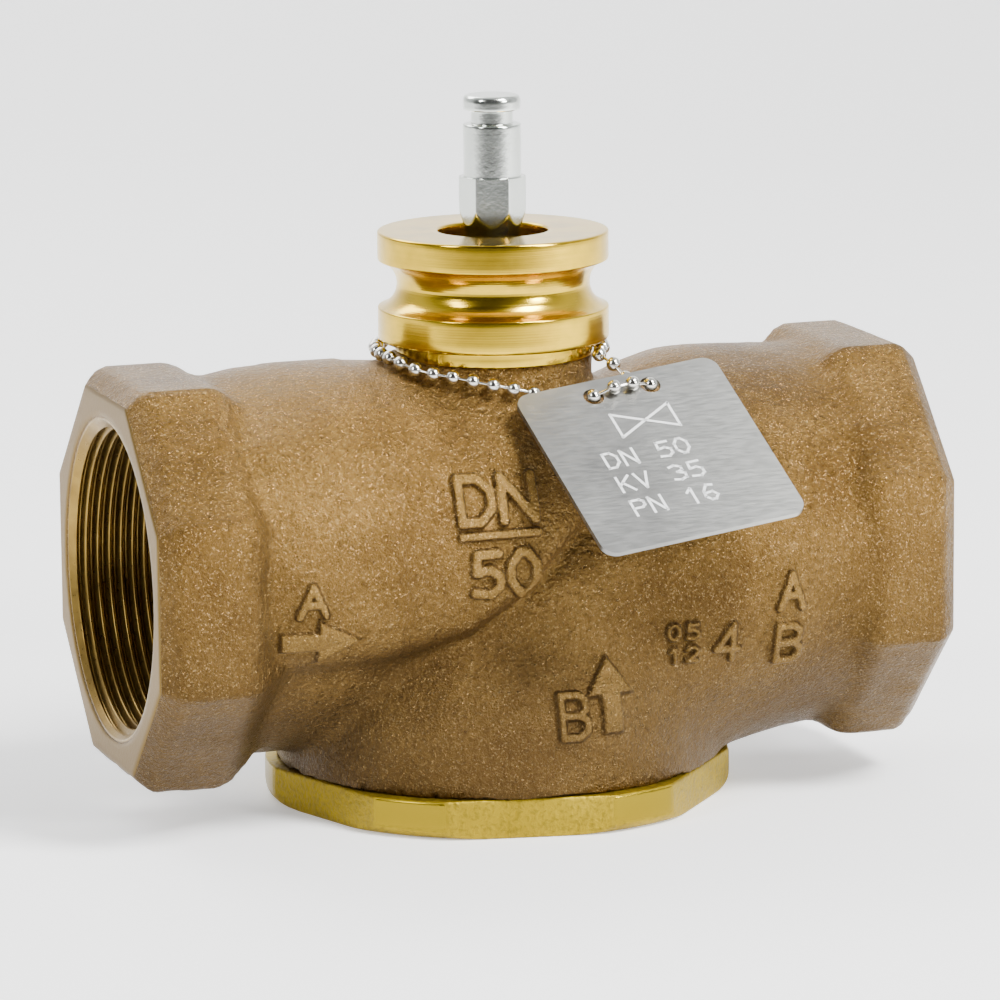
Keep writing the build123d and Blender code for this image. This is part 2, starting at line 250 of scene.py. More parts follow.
def surface_nets(field, low, high, size):
    """Closed quad surface where a field crosses zero on a grid of one cell size.

    Each crossed cell gets one point, the average of its edges' crossings, and each crossed edge
    a quad through the four cells round it.
    """
    counts = [int(np.ceil((h - l) / size)) + 1 for l, h in zip(low, high)]
    axes = [l + size * np.arange(c) for l, c in zip(low, counts)]
    values = np.empty(counts)
    for i, x in enumerate(axes[0]):
        yy, zz = np.meshgrid(axes[1], axes[2], indexing="ij")
        p = np.stack([np.full(yy.size, x), yy.ravel(), zz.ravel()], 1)
        values[i] = field(p).reshape(yy.shape)
    inside = values < 0
    cells = tuple(c - 1 for c in counts)
    total, crossings = np.zeros((*cells, 3)), np.zeros(cells)
    for axis in range(3):
        others = [a for a in range(3) if a != axis]
        lower = [slice(None)] * 3
        upper = [slice(None)] * 3
        lower[axis], upper[axis] = slice(0, -1), slice(1, None)
        a, b = values[tuple(lower)], values[tuple(upper)]
        crossed = (a < 0) != (b < 0)
        share = np.where(crossed, a / np.where(crossed, a - b, 1), 0)
        for da in (0, 1):
            for db in (0, 1):
                window = [slice(None)] * 3
                window[others[0]] = slice(da, da + cells[others[0]])
                window[others[1]] = slice(db, db + cells[others[1]])
                hit = crossed[tuple(window)]
                place = np.zeros((*cells, 3))
                place[..., axis] = share[tuple(window)]
                place[..., others[0]] = da
                place[..., others[1]] = db
                total += place * hit[..., None]
                crossings += hit
    used = crossings > 0
    number = np.full(cells, -1)
    number[used] = np.arange(used.sum())
    cell = np.argwhere(used)
    points = np.array(low) + size * (cell + total[used] / crossings[used][:, None])
    faces = []
    for axis in range(3):
        u, v = (axis + 1) % 3, (axis + 2) % 3
        lower = [slice(1, -1)] * 3
        upper = [slice(1, -1)] * 3
        lower[axis], upper[axis] = slice(0, -1), slice(1, None)
        a, b = inside[tuple(lower)], inside[tuple(upper)]
        where = np.argwhere(a != b)
        out = a[a != b]
        index = where.copy()
        index[:, u] += 1
        index[:, v] += 1
        step_u, step_v = np.zeros(3, int), np.zeros(3, int)
        step_u[u], step_v[v] = 1, 1
        corners = [index, index - step_u, index - step_u - step_v, index - step_v]
        quad = np.stack([number[tuple(c.T)] for c in corners], 1)
        faces.append(np.where(out[:, None], quad, quad[:, ::-1]))
    return points, np.concatenate(faces)


def settle(points, field, rounds=3):
    """Moves points onto the field's zero along its slope."""
    step = 0.05
    for _ in range(rounds):
        value = field(points)
        slope = np.stack([(field(points + d) - field(points - d)) / (2 * step)
                          for d in np.eye(3) * step], 1)
        length = np.maximum((slope ** 2).sum(1), 0.25)
        move = -(value / length)[:, None] * slope
        points = points + np.clip(move, -0.4, 0.4)
    return points


def convex_distance(p, corners):
    """Signed distance to a convex outline whose corners go anticlockwise, negative inside."""
    worst = np.full(len(p), -1e9)
    for a, b in zip(corners, corners[1:] + corners[:1]):
        way = np.array(b, float) - a
        normal = np.array([way[1], -way[0]]) / np.hypot(*way)
        worst = np.maximum(worst, (p - np.array(a, float)) @ normal)
    return worst


def smooth_step(low, high, value):
    """0 below low, 1 above high, and the cubic 3tt - 2ttt of the share t between them."""
    t = np.clip((value - low) / (high - low), 0, 1)
    return t * t * (3 - 2 * t)


# ---------------------------------------------------------------- raised marks
def stroke_distance(p, strokes):
    """Distance in a plane from points to a set of straight strokes ((x0, z0), (x1, z1))."""
    nearest = np.full(len(p), 1e9)
    for a, b in strokes:
        a, b = np.array(a, float), np.array(b, float)
        way = b - a
        t = np.clip(((p - a) @ way) / max(way @ way, 1e-9), 0, 1)
        nearest = np.minimum(nearest, np.hypot(*(p - a - t[:, None] * way).T))
    return nearest


GLYPHS = {
    "A": [[(0, 0), (0.5, 1), (1, 0)], [(0.2, 0.38), (0.8, 0.38)]],
    "B": [[(0, 0), (0, 1), (0.7, 1), (0.95, 0.88), (0.95, 0.64), (0.7, 0.52), (0, 0.52)],
          [(0.7, 0.52), (1, 0.38), (1, 0.14), (0.7, 0), (0, 0)]],
    "D": [[(0, 0), (0, 1), (0.6, 1), (1, 0.7), (1, 0.3), (0.6, 0), (0, 0)]],
    "N": [[(0, 0), (0, 1), (1, 0), (1, 1)]],
    "5": [[(0.95, 1), (0.1, 1), (0.05, 0.56), (0.6, 0.62), (1, 0.45), (1, 0.18), (0.65, 0), (0, 0.06)]],
    "0": [[(0.35, 0), (0, 0.3), (0, 0.7), (0.35, 1), (0.65, 1), (1, 0.7), (1, 0.3), (0.65, 0),
           (0.35, 0)]],
    "3": [[(0, 0.92), (0.4, 1), (0.9, 0.85), (0.9, 0.62), (0.45, 0.53), (1, 0.38), (0.95, 0.12),
           (0.5, 0), (0, 0.08)]],
    "4": [[(0.75, 0), (0.75, 1), (0, 0.3), (1, 0.3)]],
    "6": [[(0.9, 0.95), (0.45, 1), (0.05, 0.6), (0, 0.25), (0.35, 0), (0.7, 0), (1, 0.25),
           (0.7, 0.52), (0.05, 0.45)]],
    "K": [[(0, 0), (0, 1)], [(0.95, 1), (0, 0.42)], [(0.3, 0.6), (1, 0)]],
    "P": [[(0, 0), (0, 1), (0.75, 1), (1, 0.85), (1, 0.62), (0.75, 0.48), (0, 0.48)]],
    "V": [[(0, 1), (0.5, 0), (1, 1)]],
    "1": [[(0.2, 0.75), (0.6, 1), (0.6, 0)]],
    "2": [[(0, 0.8), (0.3, 1), (0.75, 1), (1, 0.75), (0.9, 0.5), (0, 0), (1, 0)]],
}


def glyph_strokes(name, x, z, width, height):
    """Straight strokes of one letter or figure, scaled into a box."""
    strokes = []
    for line in GLYPHS[name]:
        placed = [(x + width * u, z + height * v) for u, v in line]
        strokes.extend(zip(placed, placed[1:]))
    return strokes


# each mark: glyph, left, bottom, width, height, stroke half width
FRONT_MARKS = [
    ("D", -18.2, 12.6, 6.2, 7.6, 0.95),
    ("N", -9.8, 12.6, 6.2, 7.6, 0.95),
    ("5", -16.2, -0.6, 5.0, 7.4, 0.95),
    ("0", -9.0, -0.6, 5.0, 7.4, 0.95),
    ("A", -50.2, -2.0, 5.0, 5.4, 0.75),
    ("B", -1.4, -27.6, 4.8, 7.4, 0.75),
    ("A", 43.6, -7.0, 4.6, 6.4, 0.75),
    ("B", 43.6, -17.4, 4.6, 6.8, 0.75),
    ("4", 31.2, -16.2, 4.4, 6.8, 0.7),
    ("0", 21.4, -11.6, 2.2, 2.7, 0.42),
    ("5", 25.2, -11.6, 2.2, 2.7, 0.42),
    ("1", 21.4, -16.0, 2.2, 2.7, 0.42),
    ("2", 25.2, -16.0, 2.2, 2.7, 0.42),
]
# filled arrows: a shaft and a head each
ARROWS = [
    [(-53.6, -8.7), (-46.0, -8.7), (-46.0, -5.3), (-53.6, -5.3)],
    [(-46.4, -11.0), (-38.6, -7.0), (-46.4, -3.2)],
    [(6.8, -27.4), (10.6, -27.4), (10.6, -20.2), (6.8, -20.2)],
    [(4.0, -20.6), (13.4, -20.6), (8.7, -13.8)],
]
MARK_HEIGHT = 1.25


def marks_height(p):
    """Height of the raised marks above the casting at points p, on its front side only."""
    flat = p[:, [0, 2]]
    height = np.zeros(len(p))
    front = p[:, 1] < -12
    for glyph, x, z, width, tall, half in FRONT_MARKS:
        near = front & (np.abs(flat[:, 0] - x - width / 2) < width / 2 + 3)
        near &= np.abs(flat[:, 1] - z - tall / 2) < tall / 2 + 3
        if near.any():
            d = stroke_distance(flat[near], glyph_strokes(glyph, x, z, width, tall))
            rise = 1 - smooth_step(half - 0.3, half + 0.4, d)
            height[near] = np.maximum(height[near], MARK_HEIGHT * rise)
    for corners in ARROWS:
        rise = 1 - smooth_step(-0.3, 0.6, convex_distance(flat, corners))
        height = np.maximum(height, np.where(front, MARK_HEIGHT * rise, 0))
    line = stroke_distance(flat, [((-18.4, 10.2), (-3.2, 10.2))])
    under = (1 - smooth_step(0.5, 1.1, line)) * MARK_HEIGHT
    return np.maximum(height, np.where(front & (line < 3), under, 0))


def mark_zone(p):
    """True near the raised marks, where the casting's mesh is made finer."""
    front = p[:, 1] < -12
    zone = np.zeros(len(p), bool)
    for _, x, z, width, tall, _ in FRONT_MARKS:
        near = np.abs(p[:, 0] - x - width / 2) < width / 2 + 1.8
        zone |= near & (np.abs(p[:, 2] - z - tall / 2) < tall / 2 + 1.8)
    for corners in ARROWS:
        zone |= convex_distance(p[:, [0, 2]], corners) < 1.8
    zone |= (np.abs(p[:, 0] + 10.8) < 9.2) & (np.abs(p[:, 2] - 10.2) < 1.6)
    return zone & front


def port_zone(p):
    """True near the two port faces, whose edges need a finer mesh."""
    return np.minimum(p[:, 0] - FACE_A, FACE_AB - p[:, 0]) < 2.2


# ---------------------------------------------------------------- materials
class Net:
    """A material's node net, with short ways to add the nodes used here."""

    def __init__(self, name, colour=(0.5, 0.5, 0.5), metallic=1.0, roughness=0.4):
        self.material = bpy.data.materials.new(name)
        self.material.use_nodes = True
        self.nodes = self.material.node_tree.nodes
        self.links = self.material.node_tree.links
        self.surface = self.nodes["Principled BSDF"]
        self.surface.inputs["Base Color"].default_value = (*colour, 1)
        self.surface.inputs["Metallic"].default_value = metallic
        self.surface.inputs["Roughness"].default_value = roughness
        self.place = self.nodes.new("ShaderNodeTexCoord").outputs["Object"]

    def put(self, value, socket):
        """Joins a socket to a socket, or sets a plain value or colour."""
        if isinstance(value, bpy.types.NodeSocket):
            self.links.new(value, socket)
        elif isinstance(value, (tuple, list)) and len(value) == 3 and socket.type == "RGBA":
            socket.default_value = (*value, 1)
        else:
            socket.default_value = value

    def stretch(self, scale):
        """Object coordinates scaled along each axis."""
        node = self.nodes.new("ShaderNodeMapping")
        self.links.new(self.place, node.inputs["Vector"])
        node.inputs["Scale"].default_value = scale
        return node.outputs["Vector"]

    def noise(self, size_mm, detail=3.0, rough=0.55, vector=None):
        """Noise with features of about the given size."""
        node = self.nodes.new("ShaderNodeTexNoise")
        self.links.new(vector or self.place, node.inputs["Vector"])
        node.inputs["Scale"].default_value = 1000.0 / size_mm
        node.inputs["Detail"].default_value = detail
        node.inputs["Roughness"].default_value = rough
        return node.outputs["Fac"]

    def cells(self, size_mm, output="Color"):
        """One random colour for each small cell."""
        node = self.nodes.new("ShaderNodeTexVoronoi")
        self.links.new(self.place, node.inputs["Vector"])
        node.inputs["Scale"].default_value = 1000.0 / size_mm
        return node.outputs[output]

    def span(self, value, low, high, to_low=0.0, to_high=1.0):
        """A value moved from one range to another, held at its ends."""
        node = self.nodes.new("ShaderNodeMapRange")
        node.inputs["From Min"].default_value = low
        node.inputs["From Max"].default_value = high
        node.inputs["To Min"].default_value = to_low
        node.inputs["To Max"].default_value = to_high
        self.put(value, node.inputs["Value"])
        return node.outputs["Result"]

    def maths(self, kind, a, b=0.0):
        """One arithmetic step."""
        node = self.nodes.new("ShaderNodeMath")
        node.operation = kind
        self.put(a, node.inputs[0])
        self.put(b, node.inputs[1])
        return node.outputs[0]

    def blend(self, share, a, b):
        """A mix of two colours."""
        node = self.nodes.new("ShaderNodeMix")
        node.data_type = "RGBA"
        self.put(share, node.inputs["Factor"])
        self.put(a, node.inputs[6])
        self.put(b, node.inputs[7])
        return node.outputs[2]

    def parts(self, vector=None):
        """The three coordinates on their own."""
        node = self.nodes.new("ShaderNodeSeparateXYZ")
        self.links.new(vector or self.place, node.inputs[0])
        return node.outputs

    def bump(self, height, depth_mm, before=None, strength=1.0):
        """A bumped normal, on top of an earlier one if given."""
        node = self.nodes.new("ShaderNodeBump")
        node.inputs["Distance"].default_value = depth_mm * MM
        node.inputs["Strength"].default_value = strength
        self.put(height, node.inputs["Height"])
        if before is not None:
            self.links.new(before, node.inputs["Normal"])
        return node.outputs["Normal"]

    def colour(self, value):
        self.put(value, self.surface.inputs["Base Color"])

    def rough(self, value):
        self.put(value, self.surface.inputs["Roughness"])

    def normal(self, value):
        self.links.new(value, self.surface.inputs["Normal"])


def cast_bronze():
    """Sand-cast bronze: brown mottle, painted glints, painted shade low down and on the marks' flanks,
    machined port faces.
    """
    net = Net("cast_bronze", metallic=1.0)
    broad, grain, fine = net.noise(26, 4), net.noise(0.95, 4, 0.65), net.noise(0.40, 3, 0.6)
    base = net.blend(net.span(broad, 0.36, 0.64), (0.120, 0.066, 0.018), (0.230, 0.134, 0.038))
    base = net.blend(net.span(grain, 0.44, 0.68, 0, 0.6), base, (0.060, 0.030, 0.006))
    mark = net.nodes.new("ShaderNodeAttribute")
    mark.attribute_name = "mark"
    height = mark.outputs["Fac"]
    # tops of the raised marks lighter: partly rubbed bright by wear, partly a painted highlight
    top = net.span(height, 0.75, 1.0, 0, 0.25)
    # painted shade: the flanks of the raised marks are darkened, as the shade at their edges
    painted_flank_shade = net.maths("MULTIPLY", net.span(height, 0.02, 0.3), net.span(height, 0.9, 0.6))
    base = net.blend(top, base, (0.42, 0.26, 0.07))
    base = net.blend(net.maths("MULTIPLY", painted_flank_shade, 0.6), base, (0.040, 0.021, 0.006))
    # painted highlight: small bright cells mixed into the base colour as glints; the same cells also
    # lower the roughness below
    glint = net.parts(net.cells(0.27))[0]
    base = net.blend(net.span(glint, 0.80, 1.0, 0, 0.30), base, (0.78, 0.54, 0.24))
    place = net.parts()
    # painted shade: the base colour darkens towards the casting's underside, below 62 mm up and most
    # below 22 mm
    base = net.blend(net.span(place[2], 22 * MM, 62 * MM, 0.62, 0), base, (0.048, 0.029, 0.012))
    end_a = net.maths("LESS_THAN", place[0], (FACE_A + 0.22) * MM)
    end_ab = net.maths("GREATER_THAN", place[0], (FACE_AB - 0.22) * MM)
    machined = net.maths("MAXIMUM", end_a, end_ab)
    net.colour(net.blend(machined, base, (0.165, 0.100, 0.020)))
    raw = net.span(grain, 0.3, 0.7, 0.44, 0.27)
    raw = net.maths("SUBTRACT", raw, net.span(glint, 0.75, 1.0, 0.0, 0.12))
    net.rough(net.maths("ADD", net.maths("MULTIPLY", raw, net.maths("SUBTRACT", 1.0, machined)),
                        net.maths("MULTIPLY", machined, 0.44)))
    depth = net.maths("SUBTRACT", 1.0, net.maths("MULTIPLY", machined, 0.93))
    step = net.bump(net.maths("MULTIPLY", grain, depth), 0.60)
    net.normal(net.bump(net.maths("MULTIPLY", fine, depth), 0.28, step))
    return net.material


def turned_brass(name, light, dark, roughness, lines=0.35):
    """Turned brass: fine rings along the stem axis, faint tarnish."""
    net = Net(name, metallic=1.0)
    rings = net.noise(1.0, 3, 0.7, net.stretch((0.01, 0.01, 1.0)))
    tarnish = net.noise(9, 4)
    colour = net.blend(net.span(tarnish, 0.40, 0.72, 0, 0.8), light, dark)
    net.colour(colour)
    net.rough(net.span(rings, 0.3, 0.7, roughness * 0.75, roughness * 1.3))
    ring_bump = net.noise(0.22, 2, 0.6, net.stretch((0.004, 0.004, 1.0)))
    net.normal(net.bump(ring_bump, 0.02, strength=lines))
    return net.material


def plain_metal(name, colour, roughness, grain=0.02, size=0.5):
    """A metal of one colour, with uneven shine and a fine grain."""
    net = Net(name, colour, 1.0, roughness)
    stain = net.noise(4, 3)
    net.rough(net.span(stain, 0.3, 0.7, roughness * 0.8, roughness * 1.25))
    net.normal(net.bump(net.noise(size, 2), grain))
    return net.material


def cap_brass():
    """Cast and tarnished brass on the flats, turned bright brass on the rounded corners."""
    net = Net("cap_brass", metallic=0.95)
    grain, broad = net.noise(0.9, 3, 0.6), net.noise(14, 4)
    flats = net.blend(net.span(broad, 0.35, 0.7), (0.30, 0.210, 0.011), (0.41, 0.290, 0.016))
    flats = net.blend(net.span(grain, 0.45, 0.65, 0, 0.5), flats, (0.12, 0.085, 0.012))
    place = net.parts()
    out = net.maths("SQRT", net.maths("ADD", net.maths("MULTIPLY", place[0], place[0]),
                                      net.maths("MULTIPLY", place[1], place[1])))
    corner = net.span(out, 44.55 * MM, 44.7 * MM)
    colour = net.blend(corner, flats, (0.27, 0.19, 0.010))
    net.colour(colour)
    mixed = net.nodes.new("ShaderNodeMix")
    net.put(corner, mixed.inputs["Factor"])
    net.put(net.span(grain, 0.3, 0.7, 0.58, 0.42), mixed.inputs[2])
    mixed.inputs[3].default_value = 0.26
    net.rough(mixed.outputs[0])
    depth = net.maths("SUBTRACT", 1.0, corner)
    net.normal(net.bump(net.maths("MULTIPLY", grain, depth), 0.3))
    return net.material


def thread_brass():
    """Cut threads: stained, with fine rings."""
    net = Net("thread_brass", metallic=0.97)
    stain, rings = net.noise(8, 3), net.noise(0.8, 3)
    base = net.blend(net.span(stain, 0.4, 0.7), (0.28, 0.18, 0.045), (0.18, 0.11, 0.028))
    net.colour(base)
    net.rough(net.span(rings, 0.3, 0.7, 0.26, 0.4))
    return net.material


def tag_metal():
    """Brushed aluminium with painted shade, darker towards one edge."""
    net = Net("tag_metal", metallic=1.0)
    streak = net.noise(0.5, 4, 0.6, net.stretch((0.15, 1, 1)))
    blotch = net.noise(12, 3)
    # painted shade: the colour runs from dark at one edge to light at the other, for light falling
    # across the tag
    painted_shade_ramp = net.blend(net.span(net.parts()[0], 12 * MM, 62 * MM), (0.26, 0.26, 0.25), (0.62, 0.62, 0.58))
    net.colour(net.blend(net.span(blotch, 0.35, 0.7, 0, 0.5), painted_shade_ramp, (0.46, 0.46, 0.44)))
    net.rough(net.span(streak, 0.3, 0.7, 0.30, 0.44))
    net.normal(net.bump(streak, 0.02))
    return net.material


def coated(name, colour, roughness):
    """A plain non-metal with a very fine grain."""
    net = Net(name, colour, 0.0, roughness)
    net.normal(net.bump(net.noise(0.8, 2), 0.03))
    return net.material


BRONZE = cast_bronze()
BONNET = turned_brass("bonnet_brass", (0.70, 0.465, 0.028), (0.46, 0.29, 0.018), 0.19)
CAP = cap_brass()
THREAD = thread_brass()
STEEL = plain_metal("stainless", (0.62, 0.61, 0.58), 0.25)
ZINC = plain_metal("zinc_plate", (0.68, 0.71, 0.66), 0.17, 0.02, 0.8)
NICKEL = plain_metal("chain_nickel", (0.70, 0.68, 0.63), 0.18, 0.01)
TAG = tag_metal()
TAG_WHITE = coated("tag_marks", (0.82, 0.83, 0.82), 0.55)
RUBBER = coated("seal_rubber", (0.025, 0.025, 0.027), 0.5)
PTFE = coated("seal_ptfe", (0.80, 0.80, 0.76), 0.4)
FIBRE = coated("seal_fibre", (0.30, 0.34, 0.27), 0.7)


# ---------------------------------------------------------------- pieces
def refine(piece):
    """Splits the edges round the port faces once, and those round the raised marks twice."""
    work = bmesh.new()
    work.from_mesh(piece.data)
    for cuts in range(2):
        place = np.array([v.co for v in work.verts]) / MM - (0, 0, PIPE_Z)
        zone = mark_zone(place) | (port_zone(place) if cuts == 0 else False)
        work.verts.ensure_lookup_table()
        edges = [e for e in work.edges if zone[e.verts[0].index] or zone[e.verts[1].index]]
        bmesh.ops.subdivide_edges(work, edges=edges, cuts=1, use_grid_fill=True)
        work.verts.index_update()
    bmesh.ops.triangulate(work, faces=[f for f in work.faces if len(f.verts) > 4])
    work.to_mesh(piece.data)
    work.free()


def raise_marks(piece):
    """Settles the finer points, then lifts the marks along the outer shape's slope.

    The attribute "mark" keeps each point's share of the full height.
    """
    place = np.empty(len(piece.data.vertices) * 3)
    piece.data.vertices.foreach_get("co", place)
    place = place.reshape(-1, 3) / MM - (0, 0, PIPE_Z)
    fine = mark_zone(place) | port_zone(place)
    place[fine] = settle(place[fine], casting_field, 2)
    step = 0.1
    slope = np.stack([outside(place[fine] + d) - outside(place[fine] - d) for d in np.eye(3) * step], 1)
    slope /= np.linalg.norm(slope, axis=1)[:, None] + 1e-9
    on_skin = np.abs(outside(place[fine])) < 1.2
    raised = marks_height(place[fine]) * on_skin
    place[fine] += slope * raised[:, None]
    share = np.zeros(len(place), np.float32)
    share[fine] = raised / MARK_HEIGHT
    piece.data.attributes.new("mark", "FLOAT", "POINT").data.foreach_set("value", share)
    piece.data.vertices.foreach_set("co", ((place + (0, 0, PIPE_Z)) * MM).ravel())
    piece.data.update()
    piece.data.shade_smooth()


def build_casting():
    """The casting: soft unions of octagon ends, inlet tube, elbow, bowl and neck, less the waterway."""
    size = 1.35
    points, faces = surface_nets(casting_field, (-78.3, -44.5, -40.3), (82.1, 44.5, 40.1), size)
    points = settle(points, casting_field, 2)
    piece = add_piece("casting", points, faces, BRONZE, "housing", ["valve_body"])
    refine(piece)
    raise_marks(piece)
    return piece


def port_thread(name, face, way):
    """The port's inside thread: a ring whose inner radius follows a rounded 55 degree thread.

    The thread's height depends on the distance along the pipe less the turn's share of one pitch.
    """
    pitch, minor, major = 2.309, 28.328, 29.807
    rows = 250
    steps = 176
    depth = np.linspace(0.35, 24.6, rows)
    turn = np.linspace(0, 2 * np.pi, steps, endpoint=False)
    d, t = np.meshgrid(depth, turn, indexing="ij")
    phase = (d / pitch - t / (2 * np.pi)) % 1.0
    rise = np.clip(np.abs(phase - 0.5) * 2 * 1.32 - 0.16, 0, 1)
    rise = rise * rise * (3 - 2 * rise) * 0.35 + rise * 0.65
    radius = minor + (major - minor) * rise
    fade = np.clip((24.6 - d) / 2.0, 0, 1)
    radius = minor + (radius - minor) * fade
    radius = np.maximum(radius, 30.5 - d)
    outer = np.full((1, steps), 31.0)
    radius = np.concatenate([outer, radius, outer])
    d = np.concatenate([d[:1], d, d[-1:]])
    t = np.concatenate([t[:1], t, t[-1:]])
    points = np.stack([face + way * d, radius * np.cos(t), radius * np.sin(t)], -1).reshape(-1, 3)
    faces = grid_faces(rows + 2, steps, wrap_rows=True)
    if way > 0:
        faces = faces[:, ::-1]
    return add_piece(name, points, faces, THREAD)


def build_bonnet():
    """The bonnet: a turned spool with a round groove, rounded edges and its stepped bore."""
    arc = np.radians(np.linspace(103, 257, 26))
    groove = [(23.04 + BONNET_GROOVE_R * np.cos(a), 52.3 + BONNET_GROOVE_R * np.sin(a)) for a in arc]
    outline = [(14.9, 28), (14.9, 38.6), (18.87, 38.6), (18.87, 41.4), (22, 41.4)]
    outline += groove[::-1]
    outline += [(22, 62.3), (10.47, 62.3), (10.47, 37), (9.5, 37), (9.5, 30), (8, 30), (8, 12),
                (4.4, 12), (4.4, 10), (12, 10), (12, 28)]
    size = [0.3, 0.2, 0.25, 0.2, 0.9] + [0.25] + [0.02] * (len(groove) - 2) + [0.25]
    size += [0.45, 0.5, 0.2, 0.2, 0.2, 0.2, 0.2, 0.2, 0.2, 0.4, 0.2]
    profile = split_long(rounded(outline, size), 1.2)
    points, faces = lathe(profile)
    return add_piece("bonnet_spool", points, faces, BONNET, "housing", ["bonnet"])


def hexagon_radius(angle, half_flats, turn):
    """Distance from the axis to a hexagon's flat at an angle: half the flats over the cosine."""
    within = (angle - turn) % (np.pi / 3) - np.pi / 6
    return half_flats / np.cos(within)


def build_cap():
    """The bottom cap: a hexagon whose corners are turned to a round, with a hollow plug above."""
    profile = [(0.01, -46.4), (44.8, -46.4), (44.8, -38.9), (38.0, -38.9), (38.0, -39.7), (34.0, -39.7),
               (34.0, -38.9), (33, -38.9), (33, -30), (27, -30), (27, -42.4), (0.01, -42.4)]
    size = [0, 3.2, 0.8, 0.2, 0.1, 0.1, 0.2, 0.1, 0.4, 0.4, 1.5, 0]
    outline = split_long(rounded(profile, size, 8), 0.9)
    corner = math.radians(-10.4)

    def flats(radius, height, angle):
        flat = hexagon_radius(angle, 41.8, corner)
        edge = np.clip(np.minimum(height + 46.4, -38.9 - height) / 0.7, 0, 1)
        flat = flat - 0.45 * (1 - np.sqrt(np.clip(1 - (1 - edge) ** 2, 0, 1)))
        return np.where((radius > 38.5) & (height < -38), soft_min(radius, flat, 0.25), radius)

    points, faces = lathe(outline, 480, flats)
    return add_piece("cap", points, faces, CAP, "housing", ["bottom_cap"])


def build_coupling():
    """The stem coupling: head, groove and shank turned; the hexagon cut back to a cone below."""
    outline = [(4.02, 57.5), (4.7, 57.5), (4.75, 60.8), (6.5, 66.4), (6.5, 72.5), (5.5, 72.5),
               (5.5, 82.5), (4.0, 82.5), (4.0, 85.1), (5.45, 85.1), (5.45, 88), (0.01, 88),
               (0.01, 80.1), (4.02, 80.1)]
    size = [0, 0.2, 1.2, 0.2, 0.25, 0.1, 0.35, 0.15, 0.15, 0.5, 1.1, 0, 0, 0]
    profile = split_long(rounded(outline, size, 6), 0.3)

    def hexagon(radius, height, angle):
        flat = hexagon_radius(angle, 5.5, math.radians(41))
        return np.where((height < 72.5) & (radius > 4.5), soft_min(radius, flat, 0.12), radius)

    points, faces = lathe(profile, 192, hexagon)
    return add_piece("coupling", points, faces, ZINC, "stem_assembly", ["stem_coupling"])


def bead_centres(node):
    """Middle and axis-aligned size of each separate ball in a CAD node."""
    work = bmesh.new()
    work.from_mesh(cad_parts[node].data)
    bmesh.ops.remove_doubles(work, verts=work.verts, dist=1e-6)
    seen, centres = set(), []
    for start in work.verts:
        if start.index in seen:
            continue
        stack, island = [start], []
        seen.add(start.index)
        while stack:
            vertex = stack.pop()
            island.append(vertex.co[:])
            for edge in vertex.link_edges:
                other = edge.other_vert(vertex)
                if other.index not in seen:
                    seen.add(other.index)
                    stack.append(other)
        island = np.array(island)
        centres.append((island.min(0) + island.max(0)) / 2 / MM - (0, 0, PIPE_Z))
    work.free()
    return np.array(centres)


BALL_R = 1.37              # a little under the chain's CAD balls, so the tag clears them


def build_beads(name, node, body):
    """The chain's balls: spheres with a small rolled lip at the two ends of each ball's bore."""
    centres = bead_centres(node)
    rows, columns = 17, 24
    lean = np.linspace(0, np.pi, rows)
    turn = np.linspace(0, 2 * np.pi, columns, endpoint=False)
    lean_grid, turn_grid = np.meshgrid(lean, turn, indexing="ij")
    radius = BALL_R - 0.20 * np.exp(-(np.minimum(lean_grid, np.pi - lean_grid) / 0.26) ** 2)
    ball = np.stack([radius * np.sin(lean_grid) * np.cos(turn_grid),
                     radius * np.sin(lean_grid) * np.sin(turn_grid),
                     radius * np.cos(lean_grid)], -1).reshape(-1, 3)
    all_points, all_faces = [], []
    for index, centre in enumerate(centres):
        gaps = np.linalg.norm(centres - centre, axis=1)
        near = np.argsort(gaps)[1:3]
        is_end = gaps[near[-1]] >= 6.5
        way = centres[near[0]] - (centre if is_end else centres[near[-1]])
        way = way / np.linalg.norm(way)
        side = np.cross(way, (0.1, 0.2, 1.0))
        side /= np.linalg.norm(side)
        third = np.cross(way, side)
        all_points.append(centre + ball @ np.stack([side, third, way]))
        all_faces.append(grid_faces(rows, columns) + index * rows * columns)
    return add_piece(name, np.concatenate(all_points), np.concatenate(all_faces)[:, ::-1], NICKEL, body,
                     [node])


# ---------------------------------------------------------------- tag
TAG_POINT = np.array([16.8, -24.95, 33.75])
TAG_ACROSS = np.array([0.988, 0.106, 0.113])
TAG_OUT = np.array([-0.029, -0.588, 0.808])
TAG_ACROSS = TAG_ACROSS / np.linalg.norm(TAG_ACROSS)
TAG_OUT = TAG_OUT - TAG_ACROSS * (TAG_OUT @ TAG_ACROSS)
TAG_OUT = TAG_OUT / np.linalg.norm(TAG_OUT)
TAG_UP = np.cross(TAG_OUT, TAG_ACROSS)
TEXT_LEFT, TEXT_WIDTH, TEXT_HEIGHT, TEXT_GAP = -11.0, 2.5, 3.7, 1.15


def on_tag(flat_points, lift):
    """Points given as (across, up) on the tag, at a height above its middle plane."""
    flat_points = np.asarray(flat_points, float)
    return TAG_POINT + flat_points[:, :1] * TAG_ACROSS + flat_points[:, 1:2] * TAG_UP + lift * TAG_OUT


def ribbon(strokes, width, low, high):
    """Flat bars along straight strokes on the tag, as closed boxes."""
    points, faces = [], []
    for a, b in strokes:
        a, b = np.array(a, float), np.array(b, float)
        way = (b - a) / np.linalg.norm(b - a) * width / 2
        side = np.array([-way[1], way[0]])
        corners = [a - way - side, b + way - side, b + way + side, a - way + side]
        k = len(points)
        points.extend(on_tag(corners, low))
        points.extend(on_tag(corners, high))
        faces += [(k + 3, k + 2, k + 1, k), (k + 4, k + 5, k + 6, k + 7)]
        faces += [(k + i, k + (i + 1) % 4, k + 4 + (i + 1) % 4, k + 4 + i) for i in range(4)]
    return points, faces


